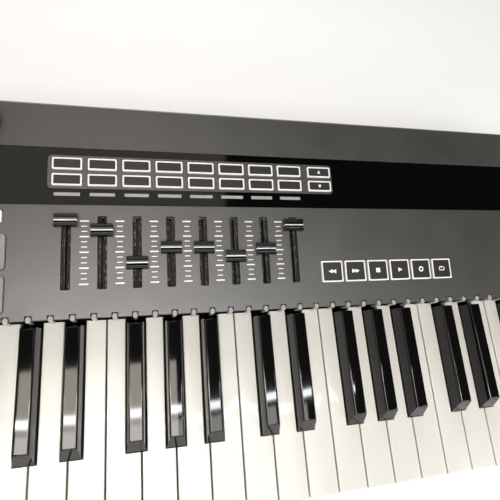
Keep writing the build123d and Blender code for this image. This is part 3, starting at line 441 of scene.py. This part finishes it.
def add_symbol(mesh, place, kind):
    """One generic printed symbol on a button's cap."""

    def flat(outline):
        add_plate(mesh, place, outline, SYMBOL_LOW, SYMBOL_HIGH)

    size = 2.2 * MM
    if kind == "rewind":
        flat(shifted(triangle(size, 180), -1.3 * MM))
        flat(shifted(triangle(size, 180), 1.7 * MM))
    elif kind == "forward":
        flat(shifted(triangle(size, 0), -1.7 * MM))
        flat(shifted(triangle(size, 0), 1.3 * MM))
    elif kind == "stop":
        flat(rounded_outline(3.6 * MM, 3.6 * MM, 0.3 * MM))
    elif kind == "play":
        flat(triangle(2.3 * MM, 0))
    elif kind == "record":
        add_ring(mesh, place, ring_points(2.2 * MM), ring_points(1.2 * MM), SYMBOL_LOW, SYMBOL_HIGH)
    elif kind == "loop":
        outer = rounded_outline(5.4 * MM, 3.4 * MM, 1.2 * MM)
        inner = rounded_outline(4.2 * MM, 2.2 * MM, 0.6 * MM)
        add_ring(mesh, place, outer, inner, SYMBOL_LOW, SYMBOL_HIGH)
        flat(shifted(triangle(1.3 * MM, 0), 0.2 * MM, 1.4 * MM))
    elif kind == "up":
        flat(triangle(1.75 * MM, 90))
    elif kind == "down":
        flat(triangle(1.75 * MM, 270))
    elif kind == "bar":
        flat(rounded_outline(7 * MM, 0.9 * MM, 0.3 * MM))
    elif kind == "dot":
        flat(ring_points(1.0 * MM, 16))


def symbols(name, body, marks):
    """The symbols of one set of buttons. marks is a list of (box, kind)."""

    def build(mesh):
        for box, kind in marks:
            x, s = middle(box)
            add_symbol(mesh, panel_matrix(x, s, box[1][2]), kind)

    piece(name, body, "ink_white", build)


transport = button_caps("transport_buttons")
TRANSPORT_KINDS = ("rewind", "forward", "stop", "play", "record", "loop")
symbols("transport_symbols", "transport_buttons", list(zip(transport, TRANSPORT_KINDS)))
soft = button_caps("soft_buttons")
arrows = sorted(soft[-2:], key=lambda box: box[0][1])
symbols("arrow_symbols", "soft_buttons", [(arrows[0], "down"), (arrows[1], "up")])
button_caps("display_buttons")
functions = button_caps("function_buttons")
FUNCTION_KINDS = ["down", "up"] + ["bar", "dot"] * 5
BLOCK_GAP = 20 * MM
block_s = functions[0][0][1] + BLOCK_GAP
by_place = sorted(functions, key=lambda box: (box[0][1] > block_s, box[0][1], box[0][0]))
symbols("function_symbols", "function_buttons", list(zip(by_place, FUNCTION_KINDS)))


# ---------------------------------------------------------------- faders
FADERS = range(1, 9)
FADER_BOXES = {i: islands(f"fader_cap_{i}")[0] for i in FADERS}
LINE_W = 0.75 * MM
VALLEY_N = 4.4 * MM
CAP_SIDE = 0.08 * MM


def fader_line(number):
    """The white index line: over the valley of the cap and down both of its ends."""
    low, high = FADER_BOXES[number]
    x, s = middle((low, high))
    half = (high[0] - low[0]) / 2

    def build(mesh):
        place = panel_matrix(x, s)
        top = rounded_outline(2 * half + 2 * CAP_SIDE, LINE_W, 0.1 * MM, 1)
        add_plate(mesh, place, top, VALLEY_N - 0.2 * MM, VALLEY_N + 0.06 * MM)
        for sign in (-1, 1):
            end = shifted(rounded_outline(2 * CAP_SIDE, LINE_W, 0.02 * MM, 1), sign * half)
            add_plate(mesh, place, end, 1.2 * MM, VALLEY_N)

    piece(f"fader_line_{number}", f"fader_cap_{number}", "ink_white", build)


for number in FADERS:
    fader_line(number)

TICKS = 13
LONG_TICK = (6.2 * MM, 0.95 * MM)
SHORT_TICK = (4.1 * MM, 0.62 * MM)


def tick_marks(mesh):
    """A column of printed ticks between each pair of faders, every third one long."""
    first = middle(FADER_BOXES[1])
    low, high = (first[1] + value for value in JOINTS["fader_1_slide"]["range_m"])
    for left, right in zip(list(FADERS), list(FADERS)[1:]):
        x = (middle(FADER_BOXES[left])[0] + middle(FADER_BOXES[right])[0]) / 2
        for step in range(TICKS):
            s = low + (high - low) * step / (TICKS - 1)
            width, thickness = LONG_TICK if step % 3 == 0 else SHORT_TICK
            outline = rounded_outline(width, thickness, 0.2 * MM, 2)
            add_plate(mesh, panel_matrix(x, s), outline, -0.02 * MM, 0.03 * MM)


piece("tick_marks", "case", "ink_white", tick_marks)


# ---------------------------------------------------------------- knobs
for number in range(1, 9):
    low, high = islands(f"knob_{number}")[0]
    knob_x, knob_s = middle((low, high))

    def knob_line(mesh, x=knob_x, s=knob_s, top=high[2]):
        place = panel_matrix(x, s, top)
        outline = shifted(rounded_outline(0.9 * MM, 4.0 * MM, 0.3 * MM, 2), 0, 3.6 * MM)
        add_plate(mesh, place, outline, -0.9 * MM, -0.52 * MM)

    piece(f"knob_line_{number}", f"knob_{number}", "ink_white", knob_line)


# ---------------------------------------------------------------- the lip above the keys
SHADOW_SHEET_T = 0.12 * MM
LIP_FRONT_Y = -14.0 * MM
LIP_Z = (64.3 * MM, 75.0 * MM)


def lip_trim(mesh):
    """A thin matte black sheet on the front face of the panel's lip: painted shade where that face lies
    in shadow.
    """
    left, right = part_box("white_keys_low")[0].x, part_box("white_keys_high")[1].x
    low, high = LIP_Z
    corners = [(left, low), (right, low), (right, high), (left, high)]
    place = Matrix.Translation((0, LIP_FRONT_Y, 0)) @ Matrix.Rotation(math.radians(90), 4, "X")
    add_plate(mesh, place, corners, 0, SHADOW_SHEET_T)


# painted shade: a black sheet over the lip's front face, which lies in shadow above the keys
piece("lip_trim", "case", "trim_black", lip_trim)


# ---------------------------------------------------------------- rear sockets
NUT_W = 1.3 * MM
NUT_GAP = 0.1 * MM
NUT_T = 0.3 * MM
NUT_POINTS = 30


def rear_place(x, z, y):
    """A frame on the rear wall whose Z points out of the wall."""
    rotation = Matrix(((-1, 0, 0), (0, 0, 1), (0, 1, 0))).transposed().to_4x4()
    return Matrix.Translation((x, y, z)) @ rotation


def jack_nuts(mesh):
    """A flat metal ring around each bore in the rear wall."""
    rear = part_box("top_case")[1][1]
    for mount in frame["record"]["mounts"]:
        if mount["kind"] == "bore":
            x, y, z = mount["pos_m"]
            bore = mount["dims"]["r_mm"] * MM
            outer = ring_points(bore + NUT_W, NUT_POINTS)
            inner = ring_points(bore + NUT_GAP, NUT_POINTS)
            add_ring(mesh, rear_place(x, z, rear), outer, inner, -NUT_T, 0)


piece("jack_nuts", "case", "nut_metal", jack_nuts)


# ---------------------------------------------------------------- stage, light and camera
FLOOR_HALF = 6.0
FLOOR_GLOW = (("From Min", 1.0), ("From Max", 4.5), ("To Min", 0.0), ("To Max", 0.8))


def floor():
    size = FLOOR_HALF
    data = bpy.data.meshes.new("floor")
    corners = [(-size, -size, 0), (size, -size, 0), (size, size, 0), (-size, size, 0)]
    data.from_pydata(corners, [], [(0, 1, 2, 3)])
    made = bpy.data.objects.new("floor", data)
    bpy.context.scene.collection.objects.link(made)
    paint = Paint("floor", (0.86, 0.86, 0.855), 0.7)
    paint.color(paint.noise(3), [(0.3, (0.85, 0.85, 0.845)), (0.7, (0.88, 0.88, 0.875))])
    # the far floor glows softly, so that it meets the backdrop without a dark band
    reach = paint.node("ShaderNodeVectorMath", operation="LENGTH")
    paint.link(paint.place, reach.inputs[0])
    glow = paint.node("ShaderNodeMapRange")
    for socket, value in FLOOR_GLOW:
        glow.inputs[socket].default_value = value
    paint.link(reach.outputs["Value"], glow.inputs["Value"])
    paint.link(glow.outputs["Result"], paint.shader.inputs["Emission Strength"])
    paint.shader.inputs["Emission Color"].default_value = (0.86, 0.87, 0.88, 1)
    data.materials.append(paint.material)


floor()


def lamp(name, place, target, size, power, color=(1, 1, 1)):
    """A soft rectangular lamp at place, turned to target."""
    data = bpy.data.lights.new(name, "AREA")
    data.shape = "RECTANGLE"
    data.size, data.size_y = size
    data.energy = power
    data.color = color
    made = bpy.data.objects.new(name, data)
    made.location = place
    direction = Vector(target) - Vector(place)
    made.rotation_euler = direction.to_track_quat("-Z", "Y").to_euler()
    bpy.context.scene.collection.objects.link(made)


CENTRE = (0.1, 0.0, 0.07)
lamp("window_softbox", (0.08, -0.64, 1.35), (0.08, -0.3, 0.0), (1.1, 0.7), 12, (1.0, 0.985, 0.96))
lamp("left_softbox", (-1.3, 0.1, 1.1), CENTRE, (0.6, 0.8), 2, (1.0, 0.96, 0.90))
lamp("front_softbox", (0.2, -1.9, 1.1), CENTRE, (1.6, 0.6), 6, (1.0, 0.99, 0.97))
lamp("right_softbox", (1.3, -1.0, 1.0), CENTRE, (0.8, 0.8), 8.0)
lamp("rear_softbox", (0.2, 3.0, 1.2), (0.2, 0.9, 0.0), (2.4, 0.8), 40)
lamp("tube_lamp", (0.15, -0.24, 1.40), (0.15, -0.24, 0.0), (1.3, 0.04), 4.5, (0.97, 0.99, 1.0))
lamp("panel_softbox", (-0.13, -0.22, 1.35), (-0.13, -0.22, 0.0), (0.62, 0.45), 6.0, (1.0, 0.91, 0.79))
lamp("warm_ceiling", (-0.12, 0.52, 1.42), (-0.12, 0.30, 0.0), (1.0, 0.5), 1.2, (1.0, 0.93, 0.80))


def studio_world():
    """White walls under a dark ceiling: bright near the horizon, nearly black overhead."""
    world = bpy.data.worlds.new("studio")
    world.use_nodes = True
    tree = world.node_tree
    place = tree.nodes.new("ShaderNodeTexCoord")
    split = tree.nodes.new("ShaderNodeSeparateXYZ")
    ramp = tree.nodes.new("ShaderNodeValToRGB")
    tree.links.new(place.outputs["Generated"], split.inputs["Vector"])
    tree.links.new(split.outputs["Z"], ramp.inputs["Fac"])
    tree.links.new(ramp.outputs["Color"], tree.nodes["Background"].inputs["Color"])
    ramp.color_ramp.elements[0].position = 0.10
    ramp.color_ramp.elements[0].color = (0.85, 0.86, 0.87, 1)
    ramp.color_ramp.elements[1].position = 0.55
    ramp.color_ramp.elements[1].color = (0.02, 0.02, 0.02, 1)
    bpy.context.scene.world = world


studio_world()

# The camera hangs over the keys, right of the middle, and looks down to the right and the rear.
CAMERA_AT = Vector((0.0541, -0.0506, 0.3775))
CAMERA_TARGET = Vector((0.1377, 0.0375, 0.06))
CAMERA_UP = Vector((0.0128, 0.9627, 0.2703))
LENS = 29.7
SENSOR = 36.0


def camera():
    data = bpy.data.cameras.new("camera")
    data.lens = LENS
    data.sensor_width = SENSOR
    data.sensor_fit = "HORIZONTAL"
    data.clip_start = 0.01
    made = bpy.data.objects.new("camera", data)
    back = (CAMERA_AT - CAMERA_TARGET).normalized()
    right = CAMERA_UP.cross(back).normalized()
    up = back.cross(right)
    rotation = Matrix((right, up, back)).transposed().to_4x4()
    made.matrix_world = Matrix.Translation(CAMERA_AT) @ rotation
    bpy.context.scene.collection.objects.link(made)
    bpy.context.scene.camera = made


camera()
bpy.context.scene.view_settings.view_transform = "Standard"
